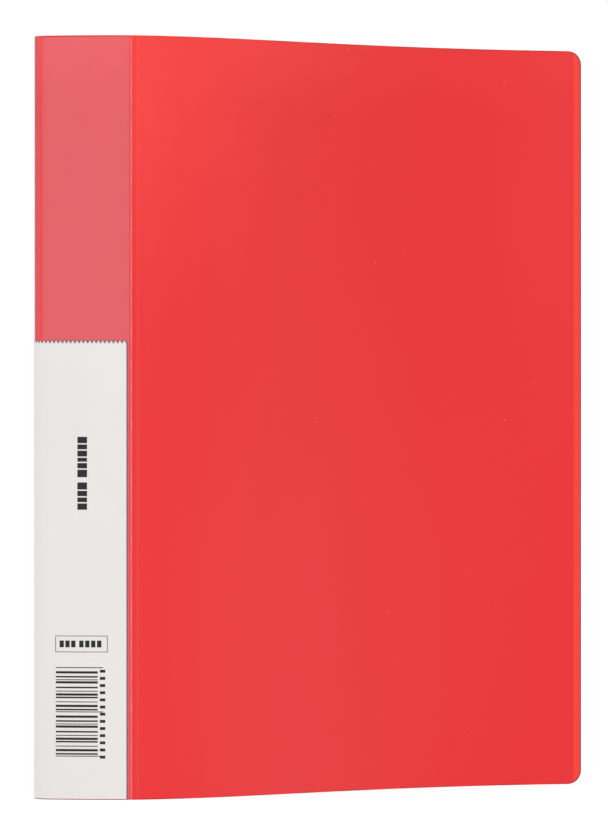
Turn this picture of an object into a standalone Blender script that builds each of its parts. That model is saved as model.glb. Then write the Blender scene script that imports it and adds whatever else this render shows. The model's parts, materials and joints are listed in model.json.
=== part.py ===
"""A4 two-ring file: a folded plastic cover with a ring mechanism riveted inside its rear panel.

The file stands on its bottom edge. The spine panel faces -Y, the rear cover runs back along +Y
from the spine's -X edge, and the front cover stands ajar from the spine's +X edge. The origin is
the middle of the spine's bottom edge. Lengths are in metres.
"""

from math import acos, asin, cos, hypot, pi, radians, sin, sqrt, tan

import bmesh
import bpy
from mathutils import Matrix, Vector

MM = 0.001

# Cover
HEIGHT = 315 * MM
SPINE_WIDTH = 43 * MM
COVER_DEPTH = 248 * MM
SHEET = 0.9 * MM
CORNER_RADIUS = 6 * MM
FRONT_TURN = radians(45)
BOW_LEAVE = radians(17.5)
BOW_ARRIVE = radians(21.5)
BOW_LEAVE_PULL = 0.235
BOW_ARRIVE_PULL = 0.42
BOW_STEPS = 20
HINGE_CUT = 0.75 * MM
HINGE_WEB_RADIUS = 0.4 * MM

# Spine pocket and label
GAP = 0.3 * MM
CARD = 0.25 * MM
FILM = 0.2 * MM
CARD_HEIGHT = 188 * MM
CARD_FROM_REAR_EDGE = 0.9 * MM
CARD_FROM_FRONT_EDGE = 4.3 * MM
CARD_LIFT = 0.8 * MM
TOOTH_PITCH = 1.8 * MM
TOOTH_DEPTH = 1.1 * MM
POCKET_FRONT_MARGIN = 2.3 * MM
POCKET_END_MARGIN = 0.6 * MM
WELD = 0.9 * MM

# Ring mechanism
RING_SPACING = 80 * MM
RING_INNER_RADIUS = 14 * MM
WIRE = 3 * MM
RING_FROM_SPINE = 30 * MM
RING_FOOT = 6 * MM
RING_ELBOW = 3 * MM
RING_TIP_GAP = 0.3 * MM
RING_SIDES = 10
HOUSING_LENGTH = 124 * MM
HOUSING_WIDTH = 22 * MM
HOUSING_HEIGHT = 8 * MM
HOUSING_WALL = 0.8 * MM
HOUSING_SHOULDER = 4.2 * MM
HOUSING_LIP = 1.3 * MM
RUN = 0.3 * MM
BLADE = 1 * MM
BLADE_AXIS_HEIGHT = 3.8 * MM
BLADE_DIP = 1.26 * MM
BLADE_END_CLEARANCE = 8 * MM
BLADE_MIDDLE_GAP = 0.25 * MM
SLOT_CLEARANCE = 0.6 * MM
SLOT_SWING = 1.4 * MM
CROWN_CLEARANCE = 0.6 * MM

# Levers
LEVER_PIN_RADIUS = 1 * MM
LEVER_PIN_FROM_END = 4 * MM
LEVER_BOSS = 1.9 * MM
LEVER_PLATE = 1.2 * MM
LEVER_WIDTH = 13 * MM
LEVER_REACH = 13 * MM
LEVER_RISE = 8 * MM
TONGUE_WIDTH = 5 * MM
TONGUE_LENGTH = 7.5 * MM
TONGUE_PLATE = 0.8 * MM
TONGUE_FLOOR = 0.55 * MM

# Rivets and posts
RIVET_SPACING = 48 * MM
RIVET_SHANK = 1.6 * MM
RIVET_HEAD = 3.6 * MM
RIVET_HEAD_RISE = 0.9 * MM
POST_RADIUS = 3 * MM

REAR_X = -SPINE_WIDTH / 2
FRONT_X = SPINE_WIDTH / 2
HALF_SHEET = SHEET / 2
MID_HEIGHT = HEIGHT / 2
MECHANISM_X = REAR_X + HALF_SHEET
CARD_WIDTH = SPINE_WIDTH - CARD_FROM_REAR_EDGE - CARD_FROM_FRONT_EDGE
BLADE_AXIS_OFFSET = HOUSING_WIDTH / 2 - HOUSING_WALL - RUN - hypot(RUN, BLADE / 2)
BLADE_REACH = BLADE_AXIS_OFFSET - BLADE_MIDDLE_GAP
BLADE_TILT = asin(BLADE_DIP / BLADE_REACH)
BLADE_LENGTH = HOUSING_LENGTH - 2 * BLADE_END_CLEARANCE
RING_RADIUS = RING_INNER_RADIUS + WIRE / 2
RING_ARC_END = acos((RING_FOOT + RING_ELBOW) / (RING_RADIUS + RING_ELBOW))
INNER_HALF_WIDTH = HOUSING_WIDTH / 2 - HOUSING_WALL
INNER_RISE = HOUSING_HEIGHT - HOUSING_WALL - HOUSING_SHOULDER
CROWN_OVER_LEVER = HOUSING_SHOULDER + INNER_RISE * sqrt(1 - (LEVER_WIDTH / 2 / INNER_HALF_WIDTH) ** 2)
LEVER_PIN_HEIGHT = CROWN_OVER_LEVER - LEVER_BOSS - CROWN_CLEARANCE
LEVER_PIN_Z = HOUSING_LENGTH / 2 - LEVER_PIN_FROM_END
RIVET_HOLE = RIVET_SHANK + GAP


def clear_scene():
    for obj in list(bpy.data.objects):
        bpy.data.objects.remove(obj)


def material(name, colour, roughness, metallic=0.0, alpha=1.0):
    made = bpy.data.materials.new(name)
    made.use_nodes = True
    shader = made.node_tree.nodes["Principled BSDF"]
    shader.inputs["Base Color"].default_value = (*colour, 1.0)
    shader.inputs["Roughness"].default_value = roughness
    shader.inputs["Metallic"].default_value = metallic
    shader.inputs["Alpha"].default_value = alpha
    made.diffuse_color = (*colour, alpha)
    return made


def add_object(name, shape, finish, parent=None, location=(0, 0, 0), smooth=None):
    """Puts a bmesh into the scene as a named object, welded and with its faces pointing out."""
    bmesh.ops.remove_doubles(shape, verts=shape.verts, dist=1e-7)
    bmesh.ops.recalc_face_normals(shape, faces=shape.faces)
    mesh = bpy.data.meshes.new(name)
    shape.to_mesh(mesh)
    shape.free()
    if smooth is not None:
        mesh.shade_smooth()
        mesh.set_sharp_from_angle(angle=smooth)
    obj = bpy.data.objects.new(name, mesh)
    bpy.context.scene.collection.objects.link(obj)
    obj.location = location
    obj.parent = parent
    if finish:
        mesh.materials.append(finish)
    return obj


def add_empty(name, location, parent=None, turn=(0, 0, 0)):
    empty = bpy.data.objects.new(name, None)
    bpy.context.scene.collection.objects.link(empty)
    empty.empty_display_size = 10 * MM
    empty.location = location
    empty.rotation_euler = turn
    empty.parent = parent
    return empty


def outline_face(shape, points):
    return shape.faces.new([shape.verts.new(point) for point in points])


def extruded(points, push):
    """A closed prism: the outline that the points make, pushed along a vector."""
    shape = bmesh.new()
    face = outline_face(shape, points)
    made = bmesh.ops.extrude_face_region(shape, geom=[face])
    moved = [item for item in made["geom"] if isinstance(item, bmesh.types.BMVert)]
    bmesh.ops.translate(shape, verts=moved, vec=push)
    return shape


def box(low, high):
    shape = bmesh.new()
    bmesh.ops.create_cube(shape, size=1)
    size = Vector(high) - Vector(low)
    bmesh.ops.scale(shape, verts=shape.verts, vec=size)
    bmesh.ops.translate(shape, verts=shape.verts, vec=(Vector(high) + Vector(low)) / 2)
    return shape


def rod(radius, start, end, sides=16):
    """A cylinder between two points that lie along one of the axes."""
    start = Vector(start)
    run = Vector(end) - start
    shape = bmesh.new()
    turn = run.to_track_quat("Z", "Y").to_matrix().to_4x4()
    place = Matrix.Translation(start + run / 2) @ turn
    bmesh.ops.create_cone(shape, cap_ends=True, segments=sides, radius1=radius, radius2=radius,
                          depth=run.length, matrix=place)
    return shape


def turned(profile, sides=16):
    """A solid turned about the X axis from (x, radius) points, the first and last on the axis."""
    shape = bmesh.new()
    line = [shape.verts.new((x, 0, radius)) for x, radius in profile]
    edges = [shape.edges.new(pair) for pair in zip(line, line[1:])]
    bmesh.ops.spin(shape, geom=line + edges, cent=(0, 0, 0), axis=(1, 0, 0), angle=2 * pi,
                   steps=sides, use_merge=True)
    return shape


def cutter(name, shape, target, operation="DIFFERENCE", parent=None, location=(0, 0, 0)):
    """Cuts a hidden shape out of the target, or joins it on."""
    tool = add_object(name, shape, None, parent, location)
    tool.hide_render = True
    tool.display_type = "WIRE"
    change = target.modifiers.new(name, "BOOLEAN")
    change.operation = operation
    change.object = tool
    change.solver = "EXACT"
    return tool


def panel_outline(width, height, radius, steps=4):
    """A panel from 0 to width and 0 to height, with its two corners at the far side rounded."""
    points = [(0, 0)]
    for middle, start in (((width - radius, radius), -pi / 2), ((width - radius, height - radius), 0)):
        for step in range(steps + 1):
            angle = start + step * pi / 2 / steps
            points.append((middle[0] + radius * cos(angle), middle[1] + radius * sin(angle)))
    points.append((0, height))
    return points


def bow_point(share):
    """A point of the bowed front cover as (along, inward) from its hinge, for a chord of one."""
    leave = Vector((cos(BOW_LEAVE), -sin(BOW_LEAVE))) * BOW_LEAVE_PULL
    arrive = Vector((1, 0)) - Vector((cos(BOW_ARRIVE), -sin(BOW_ARRIVE))) * BOW_ARRIVE_PULL
    rest = 1 - share
    return (3 * rest * rest * share * leave + 3 * rest * share * share * arrive
            + share ** 3 * Vector((1, 0)))


def bow_stations():
    """Points along the bow, as (distance along the sheet, place), for the cover's real depth."""
    fine = [bow_point(step / 400) for step in range(401)]
    lengths = [0.0]
    for before, after in zip(fine, fine[1:]):
        lengths.append(lengths[-1] + (after - before).length)
    scale = COVER_DEPTH / lengths[-1]
    stations = []
    for step in range(BOW_STEPS + 1):
        wanted = lengths[-1] * step / BOW_STEPS
        index = max(i for i, length in enumerate(lengths[:-1]) if length <= wanted + 1e-12)
        share = (wanted - lengths[index]) / (lengths[index + 1] - lengths[index])
        place = fine[index].lerp(fine[index + 1], share) * scale
        stations.append((wanted * scale, place))
    return stations


def on_bow(stations, distance):
    """The place on the faceted bow at a distance along the sheet."""
    for (start, here), (end, there) in zip(stations, stations[1:]):
        if distance <= end + 1e-9:
            break
    share = (distance - start) / (end - start)
    return here.lerp(there, share)


def make_front_cover(finish, hinge):
    stations = bow_stations()
    shape = bmesh.new()
    outline = panel_outline(COVER_DEPTH, HEIGHT, CORNER_RADIUS)
    start = HINGE_CUT
    outline_face(shape, [(max(along, start), 0, up) for along, up in outline])
    for distance, _ in stations[1:-1]:
        bmesh.ops.bisect_plane(shape, geom=shape.verts[:] + shape.edges[:] + shape.faces[:],
                               plane_co=(distance, 0, 0), plane_no=(1, 0, 0), dist=1e-7)
    for vert in shape.verts:
        place = on_bow(stations, vert.co.x)
        vert.co = (place.x, place.y, vert.co.z)
    cover = add_object("front_cover", shape, finish, hinge, smooth=radians(20))
    thicken = cover.modifiers.new("sheet", "SOLIDIFY")
    thicken.thickness = SHEET
    thicken.offset = 0
    thicken.use_even_offset = True
    return cover


def make_rear_cover(finish):
    outline = panel_outline(COVER_DEPTH, HEIGHT, CORNER_RADIUS)
    points = [(-HALF_SHEET, max(along, HINGE_CUT), up) for along, up in outline]
    shape = extruded(points, (SHEET, 0, 0))
    cover = add_object("rear_cover", shape, finish, location=(REAR_X, 0, 0))
    for end, side in (("upper", 1), ("lower", -1)):
        spot = (0, RING_FROM_SPINE, MID_HEIGHT + side * RIVET_SPACING / 2)
        hole = rod(RIVET_HOLE, (-SHEET, 0, 0), (SHEET, 0, 0))
        cutter(f"rivet_hole_{end}", hole, cover, parent=cover, location=spot)
    return cover


def make_spine_panel(finish, hinge):
    low = (HINGE_CUT, -HALF_SHEET, 0)
    high = (SPINE_WIDTH - HINGE_CUT, HALF_SHEET, HEIGHT)
    return add_object("spine_panel", box(low, high), finish, hinge)


def make_living_hinge(name, finish, place, parent=None):
    web = rod(HINGE_WEB_RADIUS, (0, 0, 0), (0, 0, HEIGHT), sides=8)
    return add_object(name, web, finish, parent, place, smooth=radians(60))


def make_label_card(finish, hinge):
    """A card with a pinked top edge, seen from -Y, in the pocket in front of the spine."""
    left = CARD_FROM_REAR_EDGE
    teeth = round(CARD_WIDTH / TOOTH_PITCH)
    pitch = CARD_WIDTH / teeth
    top = CARD_LIFT + CARD_HEIGHT
    outer = -(HALF_SHEET + GAP + CARD)
    points = [(left, outer, CARD_LIFT), (left + CARD_WIDTH, outer, CARD_LIFT)]
    for tooth in reversed(range(teeth)):
        points.append((left + (tooth + 1) * pitch, outer, top))
        points.append((left + (tooth + 0.5) * pitch, outer, top - TOOTH_DEPTH))
    points.append((left, outer, top))
    shape = extruded(points, (0, CARD, 0))
    return add_object("spine_label_card", shape, finish, hinge)


def make_pocket_film(finish, hinge):
    """A shallow tray of clear film: open at the top, with weld lips at the sides and the foot."""
    left = CARD_FROM_REAR_EDGE - GAP - WELD
    right = SPINE_WIDTH - POCKET_FRONT_MARGIN
    foot = POCKET_END_MARGIN - GAP
    top = HEIGHT - POCKET_END_MARGIN
    back = -(HALF_SHEET + GAP)
    front = back - CARD - GAP - FILM
    film = add_object("spine_pocket_film", box((left, front, foot), (right, back, top)), finish, hinge)
    inside = box((left + WELD, front + FILM, foot + GAP / 2 + FILM / 2),
                 (right - WELD, back + GAP, top + GAP))
    cutter("pocket_hollow", inside, film, parent=hinge)
    return film


def arch_profile(wall):
    """Half of the housing's arch, from its foot to its crown, as (height, offset) points."""
    half = HOUSING_WIDTH / 2 - wall
    rise = HOUSING_HEIGHT - wall - HOUSING_SHOULDER
    steps = 6
    return [(HOUSING_SHOULDER + rise * sin(a), half * cos(a))
            for a in (step * pi / 2 / steps for step in range(steps + 1))]


def make_housing(finish, mount):
    outer = arch_profile(0)
    inner = arch_profile(HOUSING_WALL)
    foot = GAP
    lip = HOUSING_WIDTH / 2 - HOUSING_WALL - HOUSING_LIP
    half = [(foot, lip), (foot, HOUSING_WIDTH / 2), *outer]
    inside = [(foot + HOUSING_WALL, lip), (foot + HOUSING_WALL, HOUSING_WIDTH / 2 - HOUSING_WALL), *inner]
    right_side = half + [(height, -offset) for height, offset in reversed(half[:-1])]
    left_side = inside + [(height, -offset) for height, offset in reversed(inside[:-1])]
    ring = right_side + left_side[::-1]
    start = -HOUSING_LENGTH / 2
    shape = extruded([(height, offset, start) for height, offset in ring], (0, 0, HOUSING_LENGTH))
    housing = add_object("ring_housing", shape, finish, mount, smooth=radians(35))
    slot_low = BLADE_AXIS_HEIGHT - BLADE / 2
    slot_inner = RING_FOOT - WIRE / 2 - SLOT_CLEARANCE
    slot_outer = RING_FOOT + RING_ELBOW + SLOT_SWING
    for end, side in (("upper", 1), ("lower", -1)):
        middle = side * RING_SPACING / 2
        half_slot = WIRE / 2 + SLOT_CLEARANCE
        for edge, way in (("fore", 1), ("spine", -1)):
            across = sorted((way * slot_inner, way * slot_outer))
            slot = box((slot_low, across[0], middle - half_slot),
                       (HOUSING_HEIGHT + GAP, across[1], middle + half_slot))
            cutter(f"ring_slot_{end}_{edge}", slot, housing, parent=mount)
        pin_z = side * LEVER_PIN_Z
        bore = rod(LEVER_PIN_RADIUS + GAP, (LEVER_PIN_HEIGHT, -HOUSING_WIDTH, pin_z),
                   (LEVER_PIN_HEIGHT, HOUSING_WIDTH, pin_z), sides=12)
        cutter(f"pin_bore_{end}", bore, housing, parent=mount)
        rivet_z = side * RIVET_SPACING / 2
        hole = rod(RIVET_HOLE, (HOUSING_HEIGHT / 2, 0, rivet_z), (2 * HOUSING_HEIGHT, 0, rivet_z), sides=12)
        cutter(f"housing_rivet_hole_{end}", hole, housing, parent=mount)
    return housing


def blade_notches():
    """Where each blade's inner edge steps back round the two posts, as (low, high) along Z."""
    half = POST_RADIUS + 2 * SLOT_CLEARANCE
    return [(side * RIVET_SPACING / 2 - half, side * RIVET_SPACING / 2 + half) for side in (-1, 1)]


def make_blade(name, way, finish, axis):
    """A blade that hangs from its outer edge. Its inner edge dips towards the cover at rest."""
    outer = -RUN
    notch = BLADE_REACH - POST_RADIUS - SLOT_CLEARANCE
    end = BLADE_LENGTH / 2
    points = [(outer, -end), (BLADE_REACH, -end)]
    for low, high in blade_notches():
        points += [(BLADE_REACH, low), (notch, low), (notch, high), (BLADE_REACH, high)]
    points += [(BLADE_REACH, end), (outer, end)]
    outline = [(-BLADE / 2, -way * across, along) for across, along in points]
    blade = add_object(name, extruded(outline, (BLADE, 0, 0)), finish, axis)
    blade.rotation_euler = (0, 0, -way * BLADE_TILT)
    return blade


def blade_top(offset):
    """Height of a blade's upper face at rest, at a distance from the mechanism's middle."""
    return BLADE_AXIS_HEIGHT - (BLADE_AXIS_OFFSET - offset) * tan(BLADE_TILT) + BLADE / 2 / cos(BLADE_TILT)


def half_ring_path():
    """The wire's middle line from its foot on the blade to its tip, as (height, offset, lean)."""
    foot_low = blade_top(RING_FOOT + WIRE / 2) + GAP
    foot_top = foot_low + WIRE / 4
    centre = foot_top + (RING_ELBOW + RING_RADIUS) * sin(RING_ARC_END)
    path = [(foot_low, RING_FOOT, 0)]
    elbow_steps = 4
    for step in range(elbow_steps):
        lean = RING_ARC_END * step / elbow_steps
        path.append((foot_top + RING_ELBOW * sin(lean), RING_FOOT + RING_ELBOW * (1 - cos(lean)), lean))
    arc_steps = 12
    tip = asin(RING_TIP_GAP / 2 / RING_RADIUS) - pi / 2
    for step in range(arc_steps + 1):
        lean = RING_ARC_END + (tip - RING_ARC_END) * step / arc_steps
        path.append((centre - RING_RADIUS * sin(lean), RING_RADIUS * cos(lean), lean))
    return path


def make_half_ring(name, way, level, finish, axis, axis_place):
    """Bent wire: a round section swept along the path, square to it at each step."""
    shape = bmesh.new()
    loops = []
    for height, offset, lean in half_ring_path():
        loop = []
        for corner in range(RING_SIDES):
            angle = 2 * pi * corner / RING_SIDES
            across = WIRE / 2 * cos(angle)
            place = Vector((height - across * sin(lean), way * (offset + across * cos(lean)),
                            level + WIRE / 2 * sin(angle)))
            loop.append(shape.verts.new(place - axis_place))
        loops.append(loop)
    for lower, upper in zip(loops, loops[1:]):
        for corner in range(RING_SIDES):
            following = (corner + 1) % RING_SIDES
            shape.faces.new((lower[corner], lower[following], upper[following], upper[corner]))
    shape.faces.new(loops[0])
    shape.faces.new(loops[-1])
    return add_object(name, shape, finish, axis, smooth=radians(50))


def lever_outline():
    """The lever's side as (outward, height) from its pin: boss, arm and thumb tab."""
    half = LEVER_PLATE / 2
    clear = LEVER_PIN_FROM_END + 1.5 * MM
    slope = Vector((LEVER_REACH - clear, LEVER_RISE)).normalized()
    across = Vector((-slope.y, slope.x)) * half
    top = Vector((LEVER_REACH, LEVER_RISE))
    knee_under = (clear + half * tan(slope.angle(Vector((1, 0))) / 2), -half)
    knee_over = (clear - half * tan(slope.angle(Vector((1, 0))) / 2), half)
    start = -pi * 0.12
    sweep = 2 * pi - 2 * abs(start)
    boss = [(LEVER_BOSS * cos(start - sweep * step / 12), LEVER_BOSS * sin(start - sweep * step / 12))
            for step in range(13)]
    root = sqrt(LEVER_BOSS ** 2 - half ** 2)
    lip = slope * half * 2
    return ([(root, -half)] + boss[1:-1] + [(root, half), knee_over, tuple(top + across)]
            + [tuple(top + across + lip), tuple(top - across + lip), tuple(top - across), knee_under])


def make_lever(end, side, finish, mount):
    pin = (LEVER_PIN_HEIGHT, 0, side * LEVER_PIN_Z)
    axis = add_empty(f"lever_axis_{end}", pin, mount)
    half = LEVER_WIDTH / 2
    outline = [(up, -half, side * out) for out, up in lever_outline()]
    lever = add_object(f"lever_{end}", extruded(outline, (0, LEVER_WIDTH, 0)), finish, axis)
    floor = TONGUE_FLOOR - LEVER_PIN_HEIGHT
    thick = TONGUE_PLATE
    tongue_side = [(-TONGUE_LENGTH, floor), (-TONGUE_LENGTH, floor + thick),
                   (-LEVER_BOSS, floor + 1.5 * thick), (-LEVER_BOSS * 0.9, -LEVER_BOSS * 0.1),
                   (0, -LEVER_BOSS * 0.8), (-LEVER_BOSS * 0.5, floor)]
    outline = [(up, -TONGUE_WIDTH / 2, side * out) for out, up in tongue_side]
    cutter(f"lever_tongue_{end}", extruded(outline, (0, TONGUE_WIDTH, 0)), lever, "UNION", axis)
    bore = rod(LEVER_PIN_RADIUS + GAP, (0, -LEVER_WIDTH, 0), (0, LEVER_WIDTH, 0), sides=12)
    cutter(f"lever_bore_{end}", bore, lever, parent=axis)
    length = HOUSING_WIDTH / 2 + RUN
    rod_shape = rod(LEVER_PIN_RADIUS, (0, -length, 0), (0, length, 0), sides=12)
    add_object(f"lever_pin_{end}", rod_shape, finish, mount, pin, smooth=radians(50))
    return lever


def make_post_and_rivet(end, side, steel, mount):
    place = (0, 0, side * RIVET_SPACING / 2)
    crown = HOUSING_HEIGHT - HOUSING_WALL
    post_shape = rod(POST_RADIUS, (GAP, 0, 0), (crown - GAP, 0, 0))
    post = add_object(f"mounting_post_{end}", post_shape, steel, mount, place, smooth=radians(50))
    bore = rod(RIVET_HOLE, (-crown, 0, 0), (2 * crown, 0, 0))
    cutter(f"post_bore_{end}", bore, post, parent=mount, location=place)
    head_face = -SHEET - GAP
    tip_face = HOUSING_HEIGHT + GAP
    rise = RIVET_HEAD_RISE
    profile = [(head_face - rise, 0), (head_face - rise, RIVET_HEAD * 0.6),
               (head_face - rise * 0.7, RIVET_HEAD * 0.9), (head_face, RIVET_HEAD),
               (head_face, RIVET_SHANK), (tip_face, RIVET_SHANK), (tip_face, RIVET_HEAD * 0.75),
               (tip_face + rise * 0.6, RIVET_HEAD * 0.65), (tip_face + rise, RIVET_HEAD * 0.4),
               (tip_face + rise, 0)]
    add_object(f"rivet_{end}", turned(profile), steel, mount, place, smooth=radians(35))


def build():
    clear_scene()
    red_sheet = material("red_sheet", (0.80, 0.06, 0.06), 0.35)
    clear_film = material("clear_film", (0.90, 0.60, 0.60), 0.2, alpha=0.4)
    label_card = material("label_card", (0.80, 0.78, 0.75), 0.6)
    nickel = material("nickel_plate", (0.75, 0.75, 0.73), 0.2, 1.0)
    spring_steel = material("spring_steel", (0.55, 0.56, 0.57), 0.35, 1.0)

    rear_hinge = add_empty("rear_hinge_axis", (REAR_X, 0, 0))
    front_hinge = add_empty("front_hinge_axis", (FRONT_X, 0, 0), turn=(0, 0, FRONT_TURN))
    make_rear_cover(red_sheet)
    make_spine_panel(red_sheet, rear_hinge)
    make_front_cover(red_sheet, front_hinge)
    make_living_hinge("rear_living_hinge", red_sheet, (REAR_X, 0, 0))
    make_living_hinge("front_living_hinge", red_sheet, (FRONT_X, 0, 0))
    make_label_card(label_card, rear_hinge)
    make_pocket_film(clear_film, rear_hinge)

    mount = add_empty("mechanism_mount", (MECHANISM_X, RING_FROM_SPINE, MID_HEIGHT))
    make_housing(nickel, mount)
    for edge, way in (("spine_side", -1), ("fore_side", 1)):
        axis_place = Vector((BLADE_AXIS_HEIGHT, way * BLADE_AXIS_OFFSET, 0))
        axis = add_empty(f"blade_axis_{edge}", axis_place, mount)
        make_blade(f"blade_{edge}", way, spring_steel, axis)
        for end, side in (("upper", 1), ("lower", -1)):
            level = side * RING_SPACING / 2
            make_half_ring(f"half_ring_{end}_{edge}", way, level, nickel, axis, axis_place)
    for end, side in (("upper", 1), ("lower", -1)):
        make_lever(end, side, nickel, mount)
        make_post_and_rivet(end, side, spring_steel, mount)


build()
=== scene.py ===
"""Looks of the A4 two-ring file: one scored plastic sheet, spine pocket with its label, ring mechanism.

Every sheet-like piece is laid out flat first: X runs along the sheet from the rear cover's free edge,
-Y is the outer side and Z is up. It is then bent along the sheet's course. Lengths are in metres.
"""

import json
from math import acos, asin, cos, pi, radians, sin, tan

import bmesh
import bpy
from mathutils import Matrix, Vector


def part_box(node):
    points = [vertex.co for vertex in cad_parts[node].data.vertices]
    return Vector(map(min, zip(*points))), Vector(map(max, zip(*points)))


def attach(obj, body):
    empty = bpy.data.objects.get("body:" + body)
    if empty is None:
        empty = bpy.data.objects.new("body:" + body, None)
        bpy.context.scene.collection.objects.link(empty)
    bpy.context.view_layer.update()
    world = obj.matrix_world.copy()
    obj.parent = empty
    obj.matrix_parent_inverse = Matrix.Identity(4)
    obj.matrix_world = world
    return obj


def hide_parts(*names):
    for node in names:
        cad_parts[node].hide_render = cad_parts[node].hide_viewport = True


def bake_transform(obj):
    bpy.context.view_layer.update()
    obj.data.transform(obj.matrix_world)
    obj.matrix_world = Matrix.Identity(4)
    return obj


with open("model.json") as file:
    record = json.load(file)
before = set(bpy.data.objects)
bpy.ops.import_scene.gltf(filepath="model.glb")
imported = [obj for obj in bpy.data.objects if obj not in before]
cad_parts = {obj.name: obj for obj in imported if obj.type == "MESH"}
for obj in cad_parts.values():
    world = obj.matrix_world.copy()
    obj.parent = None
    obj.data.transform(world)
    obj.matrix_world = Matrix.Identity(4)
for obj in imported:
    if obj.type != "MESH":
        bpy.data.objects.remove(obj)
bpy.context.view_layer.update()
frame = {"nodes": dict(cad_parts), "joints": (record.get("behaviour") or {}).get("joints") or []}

MM = 0.001

# ---------------------------------------------------------------- sizes, from the frame
spine_low, spine_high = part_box("spine_panel")
rear_low, rear_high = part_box("rear_cover")
housing_low, housing_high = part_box("ring_housing")
card_low, card_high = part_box("spine_label_card")
film_low, film_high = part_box("spine_pocket_film")
hinges = {joint["name"]: Vector(joint["pos_m"]) for joint in frame["joints"]}

HEIGHT = spine_high.z - spine_low.z
SHEET = spine_high.y - spine_low.y
REAR_X = hinges["rear_fold"].x
FRONT_X = hinges["front_fold"].x
SPINE_WIDTH = FRONT_X - REAR_X
COVER_DEPTH = rear_high.y
CORNER_RADIUS = 6 * MM
EDGE_ROUND = 0.16 * MM

# Course of the sheet, seen from above
FRONT_TURN = radians(45)
BOW_LEAVE = radians(17.5)
BOW_ARRIVE = radians(21.5)
BOW_LEAVE_PULL = 0.235
BOW_ARRIVE_PULL = 0.42
REAR_BEND_BACK = 12 * MM
REAR_BEND_ACROSS = 7 * MM
REAR_BEND_PULL = 6.5 * MM
REAR_BEND_FLARE = 1.3 * MM
SPINE_PULL = 5 * MM
SPINE_DIP = 0.4 * MM
SPINE_BULGE = 1.9 * MM

# Layers on the spine, as distances outward from the middle of the sheet
CARD_INNER = SHEET / 2 + 0.06 * MM
CARD_OUTER = CARD_INNER + 0.22 * MM
INK_OUTER = CARD_OUTER + 0.02 * MM
FILM_INNER = CARD_OUTER + 0.10 * MM
FILM_OUTER = FILM_INNER + 0.14 * MM
WELD_SINK = FILM_INNER - SHEET / 2 - 0.02 * MM
WELD = 0.9 * MM
TOOTH_PITCH = 1.78 * MM
TOOTH_DEPTH = 1.3 * MM
FILM_FOOT_WELD = 0.15 * MM
INK_SINK = 0.002 * MM

# Print on the label: X across from the spine's middle, Z up from the foot
TITLE_X = 0.9 * MM
TITLE_Z = 119.5 * MM
TITLE_WIDTH = 4 * MM
TITLE_GROUPS = ((2.6, 1.9, 2.2, 2.9), (3.1, 2.2, 1.6, 2.4, 2.0, 2.6))
TITLE_GAP = 0.55 * MM
TITLE_GROUP_GAP = 1.6 * MM
BOX_X = (-12.3 * MM, 9.3 * MM)
BOX_Z = (60.8 * MM, 67.6 * MM)
BOX_RULE = 0.24 * MM
DASH_Z = (62.8 * MM, 65.6 * MM)
DASH_WIDTH = 1.8 * MM
DASH_STEP = 2.45 * MM
DASH_GROUP_GAP = 0.9 * MM
STRIPES_X = -12.1 * MM
STRIPES_Z = (17.8 * MM, 54.8 * MM)
STRIPE_LENGTH = 17.5 * MM
LONG_STRIPE_EXTRA = 2.2 * MM
TICKS_Z = 17.0 * MM
TICK_STEP = 2.95 * MM
TICK_HEIGHT = 1.2 * MM
TICKS_ACROSS = (18.4 * MM, 20.6 * MM)

# Ring mechanism
MECHANISM_X = REAR_X + SHEET / 2
RING_Y = (housing_low.y + housing_high.y) / 2
MIDDLE_Z = (housing_low.z + housing_high.z) / 2
HOUSING_WALL = 0.8 * MM
HOUSING_SHOULDER = 4.2 * MM
HOUSING_LIP = 1.3 * MM
WIRE = 3 * MM
RING_RADIUS = 15.5 * MM
RING_FOOT = 6 * MM
RING_ELBOW = 3 * MM
RING_TIP_GAP = 0.3 * MM
SLOT_CLEARANCE = 0.6 * MM
SLOT_SWING = 1.4 * MM
SLOT_LOW = 3.3 * MM
PIN_CLEARANCE = 0.3 * MM
LEVER_PLATE = 1.2 * MM
LEVER_FLAT = 5.5 * MM
LEVER_KNEE = 1.6 * MM
LEVER_BOSS = 1.9 * MM
TONGUE_WIDTH = 5 * MM
TONGUE_LENGTH = 7.5 * MM
TONGUE_PLATE = 0.8 * MM
TONGUE_FLOOR = 0.55 * MM
RIVET_SHANK = 1.6 * MM
RIVET_BORE = 1.9 * MM

LAYOUT = "flat_place"


# ---------------------------------------------------------------- working in Blender
def deselect():
    if bpy.context.mode != "OBJECT":
        bpy.ops.object.mode_set(mode="OBJECT")
    bpy.ops.object.select_all(action="DESELECT")


def take(obj):
    """Makes one object the selected and active one."""
    deselect()
    obj.select_set(True)
    bpy.context.view_layer.objects.active = obj
    return obj


def edit(obj):
    take(obj)
    bpy.ops.object.mode_set(mode="EDIT")
    bpy.ops.mesh.select_all(action="DESELECT")


def leave_edit():
    bpy.ops.object.mode_set(mode="OBJECT")


def pick(obj, kind, test):
    """Selects the vertices, edges or faces that pass a test."""
    bpy.ops.mesh.select_mode(type=kind)
    bpy.ops.mesh.select_all(action="DESELECT")
    mesh = bmesh.from_edit_mesh(obj.data)
    items = {"VERT": mesh.verts, "EDGE": mesh.edges, "FACE": mesh.faces}[kind]
    for item in items:
        if test(item):
            item.select_set(True)
    mesh.select_flush_mode()
    bmesh.update_edit_mesh(obj.data)


def settle(obj):
    """Puts the place, turn and size of an object into its mesh."""
    take(obj)
    bpy.ops.object.transform_apply(location=True, rotation=True, scale=True)
    return obj


def named(name):
    """The object just added, with its name and its place in its mesh."""
    obj = bpy.context.object
    obj.name = name
    obj.data.name = name
    return settle(obj)


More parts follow.
